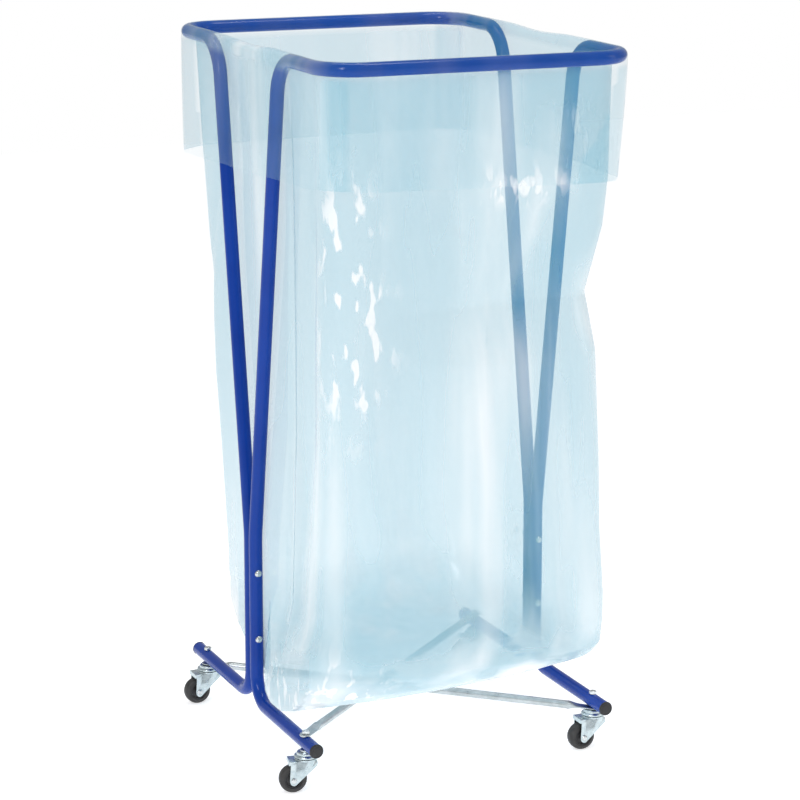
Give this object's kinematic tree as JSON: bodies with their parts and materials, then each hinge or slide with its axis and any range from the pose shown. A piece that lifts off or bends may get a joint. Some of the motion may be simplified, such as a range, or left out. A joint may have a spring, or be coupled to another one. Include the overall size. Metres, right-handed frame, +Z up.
{
  "type": "linen trolley",
  "caption": "Wheeled sack stand: two bent blue tubes meet at the sides in V legs and hold a clear film sack open over their top rails.",
  "frame": {"origin": "floor level under the middle of the trolley's bounding box, casters standing as built", "axes": "+X along the long rails, away from where the casters trail, +Y from front to rear, +Z up"},
  "size_m": [0.5088, 0.6354, 1.0427],
  "materials": {
    "blue_powder_coat": "gloss powder coat",
    "black_plug_plastic": "moulded satin",
    "black_rubber": "matt moulded",
    "wheel_centre_plastic": "moulded satin",
    "clear_film": "clear pale blue film",
    "zinc_pressing": "bright zinc plate",
    "zinc_tube": "bright zinc plate",
    "zinc_fastener": "bright zinc plate"
  },
  "bodies": {
    "root": {"ball_race_front_left": "zinc_fastener", "ball_race_front_right": "zinc_fastener", "ball_race_rear_left": "zinc_fastener", "ball_race_rear_right": "zinc_fastener", "caster_head_front_left": "zinc_pressing", "caster_head_front_right": "zinc_pressing", "caster_head_rear_left": "zinc_pressing", "caster_head_rear_right": "zinc_pressing", "cross_brace_lower": "zinc_tube", "cross_brace_upper": "zinc_tube", "foot_bolt_front_left": "zinc_fastener", "foot_bolt_front_right": "zinc_fastener", "foot_bolt_rear_left": "zinc_fastener", "foot_bolt_rear_right": "zinc_fastener", "foot_nut_front_left": "zinc_fastener", "foot_nut_front_right": "zinc_fastener", "foot_nut_rear_left": "zinc_fastener", "foot_nut_rear_right": "zinc_fastener", "foot_plug_front_left": "black_plug_plastic", "foot_plug_front_right": "black_plug_plastic", "foot_plug_rear_left": "black_plug_plastic", "foot_plug_rear_right": "black_plug_plastic", "foot_spacer_front_left": "zinc_fastener", "foot_spacer_rear_right": "zinc_fastener", "front_frame_tube": "blue_powder_coat", "leg_bolt_left_lower": "zinc_fastener", "leg_bolt_left_upper": "zinc_fastener", "leg_bolt_right_lower": "zinc_fastener", "leg_bolt_right_upper": "zinc_fastener", "leg_nut_left_lower": "zinc_fastener", "leg_nut_left_upper": "zinc_fastener", "leg_nut_right_lower": "zinc_fastener", "leg_nut_right_upper": "zinc_fastener", "rear_frame_tube": "blue_powder_coat", "sack": "clear_film"},
    "caster_front_left": {"caster_fork_front_left": "zinc_pressing", "wheel_axle_front_left": "zinc_fastener"},
    "wheel_front_left": {"wheel_hub_front_left": "wheel_centre_plastic", "wheel_tyre_front_left": "black_rubber"},
    "caster_front_right": {"caster_fork_front_right": "zinc_pressing", "wheel_axle_front_right": "zinc_fastener"},
    "wheel_front_right": {"wheel_hub_front_right": "wheel_centre_plastic", "wheel_tyre_front_right": "black_rubber"},
    "caster_rear_left": {"caster_fork_rear_left": "zinc_pressing", "wheel_axle_rear_left": "zinc_fastener"},
    "wheel_rear_left": {"wheel_hub_rear_left": "wheel_centre_plastic", "wheel_tyre_rear_left": "black_rubber"},
    "caster_rear_right": {"caster_fork_rear_right": "zinc_pressing", "wheel_axle_rear_right": "zinc_fastener"},
    "wheel_rear_right": {"wheel_hub_rear_right": "wheel_centre_plastic", "wheel_tyre_rear_right": "black_rubber"}
  },
  "joints": [
    {"name": "swivel_front_left", "type": "hinge", "parent": "root", "child": "caster_front_left", "pos_m": [-0.21537, -0.2074, 0.05], "axis": [0, 0, 1], "continuous": true},
    {"name": "roll_front_left", "type": "hinge", "parent": "caster_front_left", "child": "wheel_front_left", "pos_m": [-0.23396, -0.20345, 0.02], "axis": [-0.2079, -0.9781, 0], "continuous": true},
    {"name": "swivel_front_right", "type": "hinge", "parent": "root", "child": "caster_front_right", "pos_m": [0.23743, -0.2074, 0.05], "axis": [0, 0, 1], "continuous": true},
    {"name": "roll_front_right", "type": "hinge", "parent": "caster_front_right", "child": "wheel_front_right", "pos_m": [0.21843, -0.20707, 0.02], "axis": [-0.0175, -0.9998, 0], "continuous": true},
    {"name": "swivel_rear_left", "type": "hinge", "parent": "root", "child": "caster_rear_left", "pos_m": [-0.21537, 0.2074, 0.05], "axis": [0, 0, 1], "continuous": true},
    {"name": "roll_rear_left", "type": "hinge", "parent": "caster_rear_left", "child": "wheel_rear_left", "pos_m": [-0.23437, 0.20707, 0.02], "axis": [0.0175, -0.9998, 0], "continuous": true},
    {"name": "swivel_rear_right", "type": "hinge", "parent": "root", "child": "caster_rear_right", "pos_m": [0.23743, 0.2074, 0.05], "axis": [0, 0, 1], "continuous": true},
    {"name": "roll_rear_right", "type": "hinge", "parent": "caster_rear_right", "child": "wheel_rear_right", "pos_m": [0.21861, 0.21004, 0.02], "axis": [-0.1392, -0.9903, 0], "continuous": true}
  ]
}
